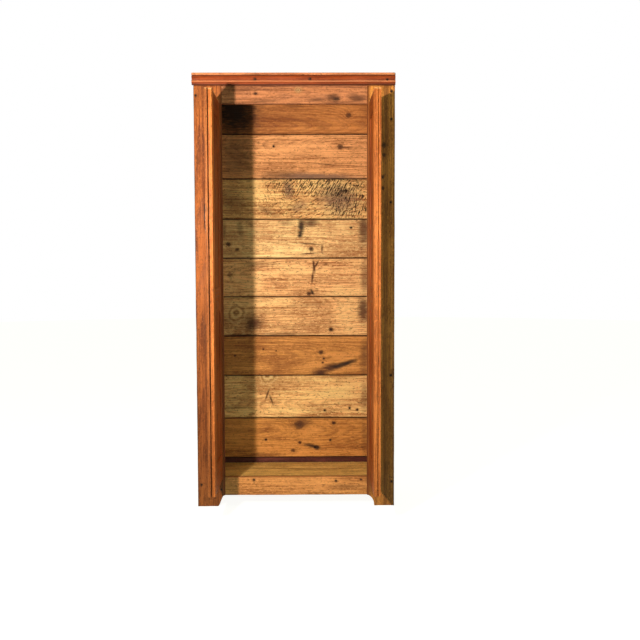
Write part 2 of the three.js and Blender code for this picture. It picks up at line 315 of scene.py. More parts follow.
def stroke_group():
    """Short thin marks that all lean one way, as from a rough saw or an adze."""
    inputs = ("along", "across", "lean", "amount", "seed")
    tree, n, given, result = new_group("strokes", inputs, ("mask",))
    u, v = n.turned(given["along"], given["across"], given["lean"])
    place = n.vector(n.times(u, 38.0), n.times(v, 190.0), given["seed"])
    field = n.noise(place, detail=3, roughness=0.6)
    edge = n.minus(0.7, n.times(given["amount"], 0.2))
    n.feed(result, {"mask": n.smooth(field, edge, n.add(edge, 0.07))})
    return tree


GRAIN = grain_group()
KNOT = knot_group()
BLOT = blot_group()
STROKES = stroke_group()


class Board:
    """Where a board lies and which way its grain runs. Marks are placed as fractions of it."""

    def __init__(self, low, high, along, across):
        self.low, self.high = Vector(low), Vector(high)
        self.along, self.across = along, across
        self.through = 3 - along - across

    def place(self, share_along, share_across):
        size = self.high - self.low
        return (
            self.low[self.along] + share_along * size[self.along],
            self.low[self.across] + share_across * size[self.across],
        )


KNOT_HEART = rgb(76, 32, 12)
# The dark brown of knot rims, also used for painted shade lines.
KNOT_RIM_AND_SHADE = rgb(36, 16, 8)
OLIVE = rgb(126, 96, 50)
SAPWOOD = rgb(248, 212, 150)
GRIME = rgb(50, 27, 14)
# Dark brown for dirt and stains, and for painted shade low on the boards and at the left door's edge.
DIRT_AND_SHADE = rgb(88, 48, 17)


class Coat:
    """The colour of a board, as its marks are laid on one after another."""

    def __init__(self, n, board, along, across, colour):
        self.n, self.board, self.colour = n, board, colour
        self.here = dict(along=along, across=across)

    def lay(self, mask, share, tint, blend="MIX"):
        """Tints the colour by a share of the mask. Gives that share back."""
        mask = self.n.times(mask, share)
        self.colour = self.n.mix(mask, self.colour, tint, blend)
        return mask

    def mark(self, tree, share_along, share_across, **values):
        """A knot or a blot at fractions of the board."""
        a, c = self.board.place(share_along, share_across)
        return self.n.group(tree, at_along=a, at_across=c, **self.here, **values)

    def swirls(self, swirls):
        """Broad rings of pale and dark lines, where a branch was sawn through."""
        for *spot, radius in swirls:
            knot = self.mark(KNOT, *spot, radius=radius)
            self.lay(knot["halo"], 0.35, OLIVE)
            self.lay(self.n.smooth(knot["swirl"], 0.1, 0.8), 0.5, KNOT_HEART)
            self.lay(self.n.fade(knot["swirl"], -0.6, 0.0), 0.34, SAPWOOD)

    def knots(self, found, dark):
        """Adds the knots found. Gives back their raised rims."""
        rims = 0.0
        for strength, knot in found:
            self.lay(knot["halo"], 0.45 * strength, dark)
            self.lay(knot["heart"], 0.95 * strength, self.n.mix(knot["turns"], KNOT_RIM_AND_SHADE, KNOT_HEART))
            self.lay(knot["rim"], 0.7 * strength, KNOT_RIM_AND_SHADE)
            rims = self.n.add(rims, self.n.times(knot["rim"], knot["turns"]))
        return rims

    def blots(self, blots):
        """Adds ragged marks. Gives back how much they cover."""
        total = 0.0
        for *spot, length, width, lean, tint, strength in blots:
            shape = dict(length=length, width=width, lean=radians(lean), ragged=1.3)
            mask = self.mark(BLOT, *spot, **shape)["mask"]
            total = self.n.add(total, self.lay(mask, strength, tint))
        return total

    def strokes(self, strokes, seed):
        """Adds fields of short leaning strokes. Gives back how much they cover."""
        n = self.n
        total = 0.0
        for index, (*spot, length, width, lean, amount, tint) in enumerate(strokes):
            field = self.mark(BLOT, *spot, length=length, width=width, lean=0.0, ragged=1.2)["mask"]
            leaning = dict(lean=radians(lean), amount=amount, seed=seed + index * 5.0)
            marks = n.group(STROKES, **self.here, **leaning)["mask"]
            total = n.add(total, self.lay(n.times(marks, n.smooth(field, 0.0, 0.5)), 0.9, tint))
        return total


RING_SPACING = 0.0085
PITH_DEPTH = 0.05  # behind the board's front
NAIL_STAIN = (0.0095, 0.0085, 0, GRIME, 0.95)


def pine(name, board, wood, seed, knots=(), swirls=(), blots=(), strokes=(), nails=(), lines=(),
         pith=0.3, slope=0.12, contrast=0.4, rough=1.0, grime=0.6, dirt_below=0.0, polish=0.5):
    """Old pine for one board, in a pale and a dark colour. Its marks, at fractions of the board:
    nails (along, across), knots (along, across, radius, strength), swirls (along, across, radius),
    blots (along, across, length, width, lean, colour, strength) and
    strokes (along, across, length, width, lean, amount, colour).
    lines are soft and straight: (axis, place, width, colour, strength)."""
    pale, dark = wood
    light = tuple(min(1.0, c * 1.3 + 0.015) for c in pale[:3]) + (1,)
    material, n, surface = new_material(name)
    axes = n.split(n.object_place())
    along, across, through = axes[board.along], axes[board.across], axes[board.through]
    width = board.high[board.across] - board.low[board.across]
    coat = Coat(n, board, along, across, pale)

    found = [(knot[3], coat.mark(KNOT, knot[0], knot[1], radius=knot[2])) for knot in knots]
    grain = n.group(
        GRAIN, along=along, across=across, through=through, slope=slope, seed=seed * 3.7,
        bend=n.add(0.0, *(knot["bend"] for _, knot in found)), spacing=RING_SPACING,
        pith=board.low[board.across] + pith * width, depth=PITH_DEPTH - board.low[board.through],
    )
    coat.lay(grain["ring"], contrast, dark)
    for step, part, low, high, strength, tint in (
        (n.smooth, "streak", 0.46, 0.68, 0.55, dark),
        (n.fade, "streak", 0.34, 0.48, 0.4, light),
        (n.smooth, "line", 0.53, 0.66, 0.75 * rough, dark),
        (n.fade, "line", 0.36, 0.47, 0.6 * rough, light),
        (n.smooth, "cloud", 0.45, 0.68, 0.55, dark),
        (n.fade, "cloud", 0.32, 0.5, 0.45, light),
        (n.smooth, "speckle", 0.56, 0.66, 0.7 * rough, DIRT_AND_SHADE),
        (n.fade, "speckle", 0.36, 0.45, 0.55 * rough, light),
        (n.smooth, "stain", 0.58, 0.7, 0.5 * rough, DIRT_AND_SHADE),
    ):
        coat.lay(step(grain[part], low, high), strength, tint)
    coat.lay(n.minus(grain["fibre"], 0.35), 0.28, dark, "MULTIPLY")

    coat.swirls(swirls)
    rims = coat.knots(found, dark)
    blotted = coat.blots([*blots, *((*nail, *NAIL_STAIN) for nail in nails)])
    stroked = coat.strokes(strokes, seed)

    if grime:
        middle = (board.low[board.across] + board.high[board.across]) / 2
        from_edge = n.minus(width / 2, n.math("ABSOLUTE", n.minus(across, middle)))
        uneven = n.times(n.minus(grain["streak"], 0.5), 0.012)
        coat.lay(n.fade(n.add(from_edge, uneven), 0.0005, 0.0065), grime, GRIME)
    # Painted shade: the board darkens towards the floor.
    if dirt_below:
        height = n.add(axes[Z], n.times(n.minus(grain["cloud"], 0.5), 0.5))
        coat.lay(n.fade(height, 0.1, 1.3), dirt_below, DIRT_AND_SHADE)
    for axis, place, line_width, tint, strength in lines:
        waver = n.times(n.minus(grain["line"], 0.5), line_width)
        away = n.add(n.minus(axes[axis], place), waver)
        coat.lay(n.bell(away, line_width / 2), strength, tint)

    relief = n.add(*(n.times(height, share) for height, share in (
        (grain["ring"], 0.2), (grain["fibre"], 0.15), (grain["line"], -0.9 * rough),
        (grain["speckle"], -0.7 * rough), (grain["stain"], -0.5 * rough),
        (rims, 0.4), (blotted, -0.3), (stroked, -1.3),
    )))
    roughness = n.add(polish, n.times(grain["cloud"], 0.16), n.times(grain["ring"], -0.08))
    n.feed(surface, {
        "Base Color": coat.colour,
        "Roughness": n.add(roughness, n.times(grain["stain"], 0.1)),
        "Specular IOR Level": 0.2,
        "Normal": n.bump(relief, 0.85, 0.0022),
    })
    return material


def old_iron(name, colour, rust, seed):
    """Dark hammered iron with brown patches."""
    material, n, surface = new_material(name)
    place = n.object_place()
    patches = n.noise(place, scale=60 + seed, detail=5, roughness=0.65)
    dents = n.noise(place, scale=240)
    n.feed(surface, {
        "Base Color": n.mix(n.smooth(patches, 0.45, 0.68), colour, rust),
        "Roughness": n.add(0.32, n.times(patches, 0.4)),
        "Metallic": 0.85,
        "Normal": n.bump(n.add(dents, patches), 0.5, 0.0004),
    })
    return material


# ---- Meshes ----


def add_piece(name, mesh, material, body, nodes):
    """An object that stands for these CAD nodes and moves with their body."""
    mesh.materials.append(material)
    piece = new_object(name, mesh)
    if nodes:
        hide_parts(*nodes)
    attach(piece, body)
    return piece


def smooth_piece(piece, angle=35):
    for polygon in piece.data.polygons:
        polygon.use_smooth = True
    piece.data.set_sharp_from_angle(angle=radians(angle))
    weighted = piece.modifiers.new("normals", "WEIGHTED_NORMAL")
    weighted.keep_sharp = True


def mesh_from(name, build):
    made = bmesh.new()
    build(made)
    bmesh.ops.recalc_face_normals(made, faces=made.faces)
    mesh = bpy.data.meshes.new(name)
    made.to_mesh(mesh)
    made.free()
    return mesh


def wander(t, seed, size=0.11):
    """A slow curve between 0 and 1, the same each time for the same seed."""
    slow = noise.noise(Vector((t / size, seed * 7.31, 0.0)))
    quick = noise.noise(Vector((t / size * 3.7, seed * 3.17, 5.0)))
    return min(1.0, max(0.0, 0.5 + 0.55 * slow + 0.3 * quick))


def loft(made, rings):
    """Skins a row of rings of points, each with as many points, and closes both ends."""
    rows = [[made.verts.new(point) for point in ring] for ring in rings]
    count = len(rows[0])
    for one, other in zip(rows, rows[1:]):
        for i in range(count):
            j = (i + 1) % count
            made.faces.new((one[i], one[j], other[j], other[i]))
    made.faces.new(rows[0])
    made.faces.new(rows[-1][::-1])


def board_mesh(name, board, rounding, wave, uneven, seed, step=0.016):
    """A board with rounded arrises. wave is how far its long edges wander in, at most, and
    uneven how far its two wide faces dip."""
    middle = (board.low + board.high) / 2
    half = (board.high - board.low) / 2
    ha, ht = half[board.across], half[board.through]
    start, end = board.low[board.along], board.high[board.along]
    steps = max(3, round((end - start) / step))
    ends = [(0.0, rounding), (rounding * 0.3, rounding * 0.3), (rounding, 0.0)]
    stations = [(start + t, inset) for t, inset in ends]
    stations += [(start + (end - start) * i / steps, 0.0) for i in range(1, steps)]
    stations += [(end - t, inset) for t, inset in reversed(ends)]
    columns = max(2, round(2 * ha / 0.022))

    def dip(t, a, side):
        place = Vector((t / 0.09, a / 0.05, seed * 5.1 + side))
        return uneven * min(1.0, max(0.0, 0.5 + noise.noise(place)))

    def corner(t, inset, sa, st):
        worn = wave * wander(t, seed + sa * 0.4 + st * 0.9) + inset
        ca, ct = ha - worn - rounding, ht - inset - rounding
        turns = [i * pi / 6 for i in range(4)]
        arc = [(sa * (ca + rounding * sin(w)), st * (ct + rounding * cos(w))) for w in turns]
        return arc if sa * st < 0 else arc[::-1]

    def face(t, inset, st):
        reach = ha - rounding - wave - inset
        spread = [reach * (2 * i / columns - 1) for i in range(1, columns)]
        row = [(a, st * (ht - inset - dip(t, a, st))) for a in spread]
        return row if st < 0 else row[::-1]

    def ring(t, inset):
        section = face(t, inset, -1) + corner(t, inset, 1, -1) + [(ha - inset, 0.0)]
        section += corner(t, inset, 1, 1) + face(t, inset, 1) + corner(t, inset, -1, 1)
        section += [(inset - ha, 0.0)] + corner(t, inset, -1, -1)
        points = []
        for a, c in section:
            point = Vector(middle)
            point[board.along] = t
            point[board.across] += a
            point[board.through] += c
            points.append(point)
        return points

    return mesh_from(name, lambda made: loft(made, [ring(t, inset) for t, inset in stations]))


def worn_outline(points, amount, seed, step=0.018):
    """The outline with each long side cut into steps that wander in by up to amount."""
    centre = sum((Vector(p) for p in points), Vector((0, 0))) / len(points)
    result = []
    for index, point in enumerate(points):
        here, there = Vector(point), Vector(points[(index + 1) % len(points)])
        span = there - here
        pieces = max(1, round(span.length / step))
        inward = Vector((-span.y, span.x)).normalized()
        if inward.dot(centre - here) < 0:
            inward.negate()
        result.append(here)
        for i in range(1, pieces):
            t = span.length * i / pieces
            result.append(here + span * i / pieces + inward * amount * wander(t, seed + index))
    return result


def prism_mesh(name, outline, axis, start, end):
    """An outline drawn out along an axis. Its points are on the other two axes, in order."""

    def at(point, t):
        place = list(point)
        place.insert(axis, t)
        return place

    rings = [[at(point, t) for point in outline] for t in (start, end)]
    return mesh_from(name, lambda made: loft(made, rings))


def round_arrises(piece, width):
    bevel = piece.modifiers.new("arris", "BEVEL")
    bevel.width = width
    bevel.segments = 3
    bevel.limit_method = "ANGLE"
    bevel.angle_limit = radians(40)


def straight_board(node, body, board, wood, seed,
                   rounding=0.0015, wave=0.0008, uneven=0.0005, spread=0.0, **marks):
    """A board and its wood. spread moves its long edges out, towards the next boards."""
    form = Board(board.low, board.high, board.along, board.across)
    form.low[board.across] -= spread
    form.high[board.across] += spread
    mesh = board_mesh(f"{node}_wood", form, rounding, wave, uneven, seed)
    material = pine(node, board, wood, seed, **marks)
    smooth_piece(add_piece(f"{node}_wood", mesh, material, body, [node]))


def shaped_board(node, body, board, outline, axis, wood, seed, arris, **marks):
    """A board of any outline, drawn out along an axis, and its wood."""
    mesh = prism_mesh(f"{node}_wood", outline, axis, board.low[axis], board.high[axis])
    material = pine(node, board, wood, seed, **marks)
    piece = add_piece(f"{node}_wood", mesh, material, body, [node])
    round_arrises(piece, arris)
    smooth_piece(piece)


def node_board(node, along, across):
    return Board(*node_box(node), along, across)


# ---- Colours of the wood: pale, dark ----

FRONT = rgb(193, 105, 44), rgb(104, 44, 14)
# Painted light: the right stile's wood is a paler, yellower copy of the stile wood, to lift the shade the
# right door throws on it.
FRONT_LIFTED_FOR_SHADE = rgb(226, 142, 60), rgb(138, 74, 24)
TOP_RAIL = rgb(194, 119, 74), rgb(94, 46, 26)
APRON = rgb(222, 144, 78), rgb(150, 84, 36)
CORNICE = rgb(160, 66, 12), rgb(100, 30, 5)
TOP = rgb(220, 134, 88), rgb(160, 82, 46)
TAN = rgb(252, 188, 121), rgb(146, 84, 40)
ORANGE = rgb(208, 138, 68), rgb(122, 62, 24)
FLOOR = rgb(222, 174, 96), rgb(136, 90, 42)
DOOR = rgb(154, 68, 5), rgb(96, 34, 3)
DOOR_EDGE = rgb(214, 120, 50), rgb(146, 66, 20)
SIDE = rgb(198, 124, 60), rgb(138, 72, 28)
SILL = rgb(100, 44, 34), rgb(62, 24, 20)

# ---- Colours of marks ----

# Painted shade beside the open doors: down each stile's inner edge and under each door's foot.
DOOR_CORNER_SHADE = rgb(116, 54, 18)
# Painted shadow: the dark red-brown line just under the cornice.
UNDER_CORNICE_SHADE = rgb(78, 30, 12)
# Painted highlight on the cornice's bead.
BEAD_HIGHLIGHT = rgb(240, 150, 104)
# A worn arris and a painted highlight along the door tops.
ARRIS_WEAR_AND_HIGHLIGHT = rgb(226, 158, 96)
# Near black: soot marks, and painted shadow at the left of back boards 1 and 2.
SOOT_AND_SHADE = rgb(24, 9, 5)
# Dark brown for scorch marks, and for painted shade at the back boards' right ends beside the right door.
SCORCH_AND_SHADE = rgb(78, 40, 20)
SLATE = rgb(112, 84, 72)


# ---- Back boards ----


def toned(wood, *tone):
    """A pair of colours, each with its red, green and blue multiplied."""
    return [tuple(min(1.0, c * share) for c, share in zip(colour, tone)) + (1,) for colour in wood]


# Counted down from the top. See pine() for what the numbers in each mark are.
BACK_MARKS = {
    1: dict(
        wood=toned(ORANGE, 0.96, 0.86, 0.9),
        knots=[(0.783, 0.42, 0.01, 0.8)],
        # The first blot is a painted shadow: the left door's and the top rail's shadow, nearly black.
        blots=[(0.17, 0.55, 0.15, 0.2, 0, SOOT_AND_SHADE, 0.97), (0.5, 0.66, 0.06, 0.025, 8, DIRT_AND_SHADE, 0.35)],
        pith=0.2, slope=0.1, rough=0.55,
    ),
    2: dict(
        wood=toned(TAN, 0.78, 0.655, 0.64),
        knots=[(0.738, 0.72, 0.01, 0.9)],
        blots=[
            (0.765, 0.7, 0.04, 0.005, 3, SCORCH_AND_SHADE, 0.8), (0.652, 0.33, 0.075, 0.003, -4, SOOT_AND_SHADE, 0.7),
            (0.6, 0.05, 0.26, 0.022, -1, SLATE, 0.75), (0.4, 0.1, 0.11, 0.03, 4, DIRT_AND_SHADE, 0.55),
            # This blot is painted shadow from the left door.
            (0.18, 0.5, 0.09, 0.12, 0, SOOT_AND_SHADE, 0.45),
        ],
        nails=[(0.382, 0.73)],
        pith=0.75, slope=-0.16,
    ),
    3: dict(
        wood=TAN,
        blots=[
            (0.73, 0.5, 0.12, 0.095, -16, SLATE, 0.7), (0.46, 0.75, 0.03, 0.055, 4, SLATE, 0.65),
            (0.52, 0.32, 0.05, 0.03, 30, SLATE, 0.45), (0.34, 0.22, 0.07, 0.022, -24, SCORCH_AND_SHADE, 0.5),
            (0.16, 0.45, 0.07, 0.08, 0, DIRT_AND_SHADE, 0.45),
        ],
        strokes=[
            (0.62, 0.85, 0.26, 0.06, 60, 0.98, SOOT_AND_SHADE), (0.6, 0.3, 0.24, 0.08, 28, 0.62, SCORCH_AND_SHADE),
            (0.4, 0.45, 0.1, 0.09, 118, 0.6, SCORCH_AND_SHADE), (0.8, 0.4, 0.12, 0.1, 72, 0.85, SOOT_AND_SHADE),
        ],
        pith=0.4, slope=0.2, rough=1.3,
    ),
    4: dict(
        wood=toned(TAN, 1.1, 1.14, 1.3),
        knots=[(0.581, 0.24, 0.01, 1.0), (0.136, 0.36, 0.009, 1.0), (0.183, 0.23, 0.007, 0.9)],
        blots=[
            (0.528, 0.82, 0.02, 0.045, 0, SOOT_AND_SHADE, 0.95), (0.575, 0.9, 0.05, 0.026, 0, SCORCH_AND_SHADE, 0.85),
            (0.522, 0.6, 0.016, 0.02, 0, SOOT_AND_SHADE, 0.95), (0.571, 0.37, 0.075, 0.0045, -3, SCORCH_AND_SHADE, 0.9),
            (0.575, 0.12, 0.07, 0.0045, 4, SCORCH_AND_SHADE, 0.9), (0.64, 0.25, 0.008, 0.022, 0, SCORCH_AND_SHADE, 0.8),
            (0.2, 0.75, 0.02, 0.06, 8, SCORCH_AND_SHADE, 0.5), (0.11, 0.7, 0.016, 0.05, -6, SCORCH_AND_SHADE, 0.5),
            # The blot at 0.865 along is painted shade beside the right door.
            (0.865, 0.75, 0.034, 0.11, 0, SCORCH_AND_SHADE, 0.85), (0.45, 0.9, 0.05, 0.016, 0, DIRT_AND_SHADE, 0.5),
        ],
        nails=[(0.796, 0.78)],
        pith=0.3, slope=0.08,
    ),
    5: dict(
        wood=toned(TAN, 0.98, 0.93, 1.0),
        knots=[(0.569, 0.08, 0.009, 1.0)],
        blots=[
            (0.596, 0.78, 0.045, 0.0075, 96, SCORCH_AND_SHADE, 0.95), (0.588, 0.5, 0.045, 0.0075, 84, SCORCH_AND_SHADE, 0.9),
            (0.61, 0.84, 0.03, 0.006, 60, SCORCH_AND_SHADE, 0.95), (0.586, 0.12, 0.022, 0.008, 120, SOOT_AND_SHADE, 0.9),
            # The blot at 0.87 along is painted shade beside the right door.
            (0.3, 0.85, 0.09, 0.02, 0, DIRT_AND_SHADE, 0.45), (0.87, 0.5, 0.026, 0.11, 0, SCORCH_AND_SHADE, 0.6),
        ],
        pith=0.6, slope=-0.1, rough=1.15,
    ),
    6: dict(
        wood=toned(TAN, 0.97, 0.94, 1.0),
        knots=[(0.687, 0.16, 0.009, 0.9)],
        swirls=[(0.175, 0.6, 0.04)],
        blots=[
            (0.264, 0.32, 0.06, 0.05, 10, SCORCH_AND_SHADE, 0.9), (0.199, 0.0, 0.1, 0.012, 0, KNOT_RIM_AND_SHADE, 1.0),
            # The blot at 0.862 along is painted shade beside the right door.
            (0.42, 0.05, 0.15, 0.01, 0, SCORCH_AND_SHADE, 0.55), (0.862, 0.65, 0.034, 0.08, 0, SCORCH_AND_SHADE, 0.9),
            (0.55, 0.78, 0.12, 0.012, 3, DIRT_AND_SHADE, 0.35),
        ],
        nails=[(0.687, 0.16)],
        pith=0.8, slope=0.15, rough=1.15,
    ),
    7: dict(
        wood=ORANGE,
        knots=[
            (0.632, 0.58, 0.009, 1.0), (0.648, 0.42, 0.004, 1.0), (0.642, 0.32, 0.004, 1.0),
            (0.632, 0.04, 0.012, 1.0), (0.32, 0.66, 0.004, 1.0), (0.39, 0.62, 0.003, 1.0),
            (0.166, 0.5, 0.005, 0.9),
        ],
        blots=[
            (0.69, 0.2, 0.06, 0.024, 12, SCORCH_AND_SHADE, 0.95), (0.745, 0.26, 0.075, 0.018, 16, SOOT_AND_SHADE, 0.9),
            (0.79, 0.33, 0.05, 0.012, 20, SOOT_AND_SHADE, 0.8), (0.628, 0.05, 0.05, 0.03, 0, SCORCH_AND_SHADE, 0.8),
            # Painted shade beside the right door.
            (0.868, 0.45, 0.026, 0.11, 0, SCORCH_AND_SHADE, 0.6),
        ],
        pith=0.5, slope=0.1, rough=0.8,
    ),
    8: dict(
        wood=toned(TAN, 1.1, 1.03, 1.02),
        swirls=[(0.342, 1.00, 0.036)],
        blots=[
            (0.34, 0.55, 0.04, 0.006, 70, SCORCH_AND_SHADE, 0.9), (0.362, 0.42, 0.03, 0.006, 110, SCORCH_AND_SHADE, 0.9),
            (0.16, 0.25, 0.09, 0.012, 0, DIRT_AND_SHADE, 0.45), (0.66, 0.3, 0.16, 0.004, 2, SCORCH_AND_SHADE, 0.4),
            # Painted shade beside the right door.
            (0.868, 0.5, 0.022, 0.1, 0, SCORCH_AND_SHADE, 0.5),
        ],
        nails=[(0.652, 0.17), (0.788, 0.22), (0.829, 0.18)],
        pith=0.3, slope=-0.14, rough=1.1,
    ),
    9: dict(
        wood=toned(ORANGE, 1.02, 1.0, 0.92),
        knots=[
            (0.514, 0.82, 0.018, 0.85), (0.701, 0.86, 0.008, 1.0), (0.516, 0.37, 0.007, 1.0),
            (0.598, 0.25, 0.005, 1.0), (0.478, 0.17, 0.008, 0.8),
        ],
        blots=[
            (0.585, 0.28, 0.06, 0.012, -14, SOOT_AND_SHADE, 0.85), (0.61, 0.24, 0.014, 0.016, 0, SOOT_AND_SHADE, 0.8),
            (0.53, 0.86, 0.06, 0.03, 10, SCORCH_AND_SHADE, 0.6), (0.3, 0.06, 0.12, 0.014, 0, SCORCH_AND_SHADE, 0.5),
            # Painted shade beside the right door.
            (0.868, 0.5, 0.018, 0.1, 0, SCORCH_AND_SHADE, 0.4),
        ],
        nails=[(0.331, 0.45), (0.682, 0.43)],
        pith=0.7, slope=0.12, rough=0.75,
    ),
}


def add_back():
    for number, marks in BACK_MARKS.items():
        node = f"back_board_{number}"
        straight_board(node, "carcass", node_board(node, X, Z), seed=number, polish=0.55, grime=0.85,
                       rounding=0.003, wave=0.0028, uneven=0.001, spread=0.0002, **marks)
    straight_board("rear_sill_board", "carcass", node_board("rear_sill_board", X, Z), SILL, 31)


# ---- Face frame ----

# Nail holes as (along, across) fractions of the board.
LEFT_STILE_NAILS = [(0.957, 0.08), (0.052, 0.14), (0.04, 0.86)]
RIGHT_STILE_NAILS = [(0.966, 0.87), (0.903, 0.87), (0.713, 0.85), (0.31, 0.87), (0.058, 0.9)]
APRON_NAILS = [(0.203, 0.84), (0.782, 0.76)]

FOOT_HEIGHT = 0.051
FRAME_WEAR = 0.0011  # how far the edges of the stiles wander in
FRAME_ARRIS = 0.0018


def left_stile_outline(low, high):
    """The stile's outline (x, z), its foot cut back in a slant with softened ends."""
    foot = [(0.0925, 0.0), (0.033, 0.0), (0.029, 0.004)]
    slant = [(0.0245, 0.012), (0.0125, 0.042), (0.009, 0.048), (0.004, 0.05)]
    cut = [(high.x - inset, z) for inset, z in foot + slant]
    return [(low.x, 0.0), *cut, (high.x, FOOT_HEIGHT), (high.x, high.z), (low.x, high.z)]


def right_stile_outline(low, high):
    """The stile's outline (x, z), its foot cut back in a hollow curve."""
    reach, rise = 0.034, 0.05
    turns = [i * pi / 18 for i in range(10)]
    hollow = [(low.x + reach * sin(w) ** 1.1, rise * cos(w)) for w in turns]
    return [(low.x, high.z), (low.x, FOOT_HEIGHT), *hollow, (high.x, 0.0), (high.x, high.z)]


def rail_board(node):
    """A rail of the face frame, from stile to stile."""
    board = node_board(node, X, Z)
    board.low.x, board.high.x = node_box("left_stile")[1].x, node_box("right_stile")[0].x
    return board


def under_cornice():
    # A painted shadow line just under the cornice.
    return (Z, node_box("cornice_moulding")[0].z - 0.001, 0.006, UNDER_CORNICE_SHADE, 0.75)


def add_left_stile():
    seed = 41
    board = node_board("left_stile", Z, X)
    outline = worn_outline(left_stile_outline(board.low, board.high), FRAME_WEAR, seed)
    # The last blot is painted shade on the stile under the left door's foot.
    blots = [
        (0.021, 0.62, 0.012, 0.008, 0, SOOT_AND_SHADE, 0.7), (0.9, 0.55, 0.06, 0.018, 5, DIRT_AND_SHADE, 0.4),
        (0.55, 0.5, 0.09, 0.008, 2, SCORCH_AND_SHADE, 0.35), (0.4, 0.3, 0.2, 0.012, 0, SCORCH_AND_SHADE, 0.3),
        (0.055, 0.84, 0.07, 0.03, 0, DOOR_CORNER_SHADE, 0.7),
    ]
    # Painted shade down the stile's inner edge, in the corner beside the open left door.
    door_corner_shade = (X, board.high.x - 0.003, 0.012, DOOR_CORNER_SHADE, 0.7)
    streak = (X, board.low.x + 0.042, 0.016, SCORCH_AND_SHADE, 0.3)
    shaped_board("left_stile", "carcass", board, outline, Y, FRONT, seed, FRAME_ARRIS,
                 blots=blots, nails=LEFT_STILE_NAILS, lines=[under_cornice(), door_corner_shade, streak],
                 dirt_below=0.5, slope=0.03, contrast=0.7)


def add_right_stile():
    seed = 43
    board = node_board("right_stile", Z, X)
    outline = worn_outline(right_stile_outline(board.low, board.high), FRAME_WEAR, seed)
    knots = [(0.844, 0.6, 0.009, 1.0), (0.821, 0.61, 0.007, 1.0), (0.771, 0.57, 0.006, 1.0),
             (0.745, 0.57, 0.006, 1.0)]
    # The second blot is painted shade on the stile under the right door's foot.
    blots = [(0.584, 1.0, 0.02, 0.006, 0, SOOT_AND_SHADE, 0.8), (0.06, 0.22, 0.09, 0.045, 0, DOOR_CORNER_SHADE, 0.85)]
    # Painted shade down the stile's inner edge, in the corner beside the open right door.
    door_corner_shade = (X, board.low.x + 0.003, 0.015, DOOR_CORNER_SHADE, 0.9)
    streak = (X, board.low.x + 0.084, 0.024, DIRT_AND_SHADE, 0.55)
    shaped_board("right_stile", "carcass", board, outline, Y, FRONT_LIFTED_FOR_SHADE, seed, FRAME_ARRIS,
                 knots=knots, blots=blots, nails=RIGHT_STILE_NAILS, lines=[under_cornice(), door_corner_shade, streak],
                 dirt_below=0.4, slope=-0.03)


def add_rails():
    form = dict(wave=0.0012, slope=0.05, grime=0.35)
    blots = [
        (0.762, 0.24, 0.04, 0.022, 10, SCORCH_AND_SHADE, 0.85), (0.79, 0.18, 0.022, 0.01, 0, SOOT_AND_SHADE, 0.85),
        (0.65, 0.15, 0.05, 0.012, 4, SCORCH_AND_SHADE, 0.6), (0.925, 0.22, 0.05, 0.022, -12, SCORCH_AND_SHADE, 0.75),
        (0.3, 0.12, 0.08, 0.01, 0, DIRT_AND_SHADE, 0.5),
    ]
    straight_board("top_rail", "carcass", rail_board("top_rail"), TOP_RAIL, 45, blots=blots,
                   knots=[(0.234, 0.38, 0.005, 1.0)], swirls=[(0.526, 0.5, 0.01)],
                   lines=[under_cornice()], **form)
    blots = [(0.694, 0.55, 0.012, 0.003, 5, SCORCH_AND_SHADE, 0.7), (0.85, 0.45, 0.1, 0.014, 0, DIRT_AND_SHADE, 0.45)]
    straight_board("bottom_rail", "carcass", rail_board("bottom_rail"), APRON, 46, blots=blots,
                   knots=[(0.958, 0.83, 0.005, 1.0)], nails=APRON_NAILS, **form)


# ---- Cornice and top ----

CORNICE_NAILS = [(0.31, 0.6), (0.58, 0.62), (0.96, 0.55)]
LEFT_OVERHANG = 0.005  # how far the cornice and the top board stand out at the left
HOLLOW_INSET = 0.0072  # of the cornice's hollow face, behind its front edge


def cornice_profile(low, high):
    """Section points (y, z): a narrow base set back, a bead over it, and a hollow face."""
    front, back, bottom, top = low.y, high.y, low.z, high.z
    bead, base, sag, fillet = 0.0048, 0.008, 0.003, 0.005
    centre = (front + bead, bottom + base + bead)
    turns = [radians(270 - i * 20) for i in range(10)]
    points = [(back, bottom), (front + 0.0072, bottom)]
    points += [(front + 0.0066, bottom + base * 0.5), (front + 0.006, bottom + base)]
    points += [(centre[0] + bead * cos(w), centre[1] + bead * sin(w)) for w in turns]
    hollow_from = (front + 0.0075, centre[1] + bead + 0.0012)
    hollow_to = (front + 0.0004, top - 0.0036)
    for i in range(9):
        t = i / 8
        y = hollow_from[0] + (hollow_to[0] - hollow_from[0]) * t + sag * sin(pi * t)
        points.append((y, hollow_from[1] + (hollow_to[1] - hollow_from[1]) * t))
    points += [(front + fillet, top - 0.0034), (front + fillet, top), (back, top)]
    return points


def add_cornice():
    node = "cornice_moulding"
    board = node_board(node, X, Z)
    low, high = board.low, board.high
    low.x -= LEFT_OVERHANG
    profile = cornice_profile(low, high)

    def ring(x):
        wear = 0.0008 * wander(x, 51, size=0.06)
        return [(x, min(high.y, y + (wear if y < high.y else 0)), z) for y, z in profile]

    stations = [low.x + (high.x - low.x) * i / 60 for i in range(61)]
    mesh = mesh_from(f"{node}_wood", lambda made: loft(made, [ring(x) for x in stations]))
    # A painted highlight: a pale line along the cornice's bead.
    bead_highlight = (Z, low.z + 0.015, 0.007, BEAD_HIGHLIGHT, 0.7)
    shadow = (Z, low.z + 0.001, 0.006, KNOT_RIM_AND_SHADE, 0.7)
    material = pine(node, board, CORNICE, seed=51, slope=0.02, rough=0.7, grime=0.0,
                    nails=CORNICE_NAILS, lines=[bead_highlight, shadow])
    smooth_piece(add_piece(f"{node}_wood", mesh, material, "carcass", [node]), angle=30)


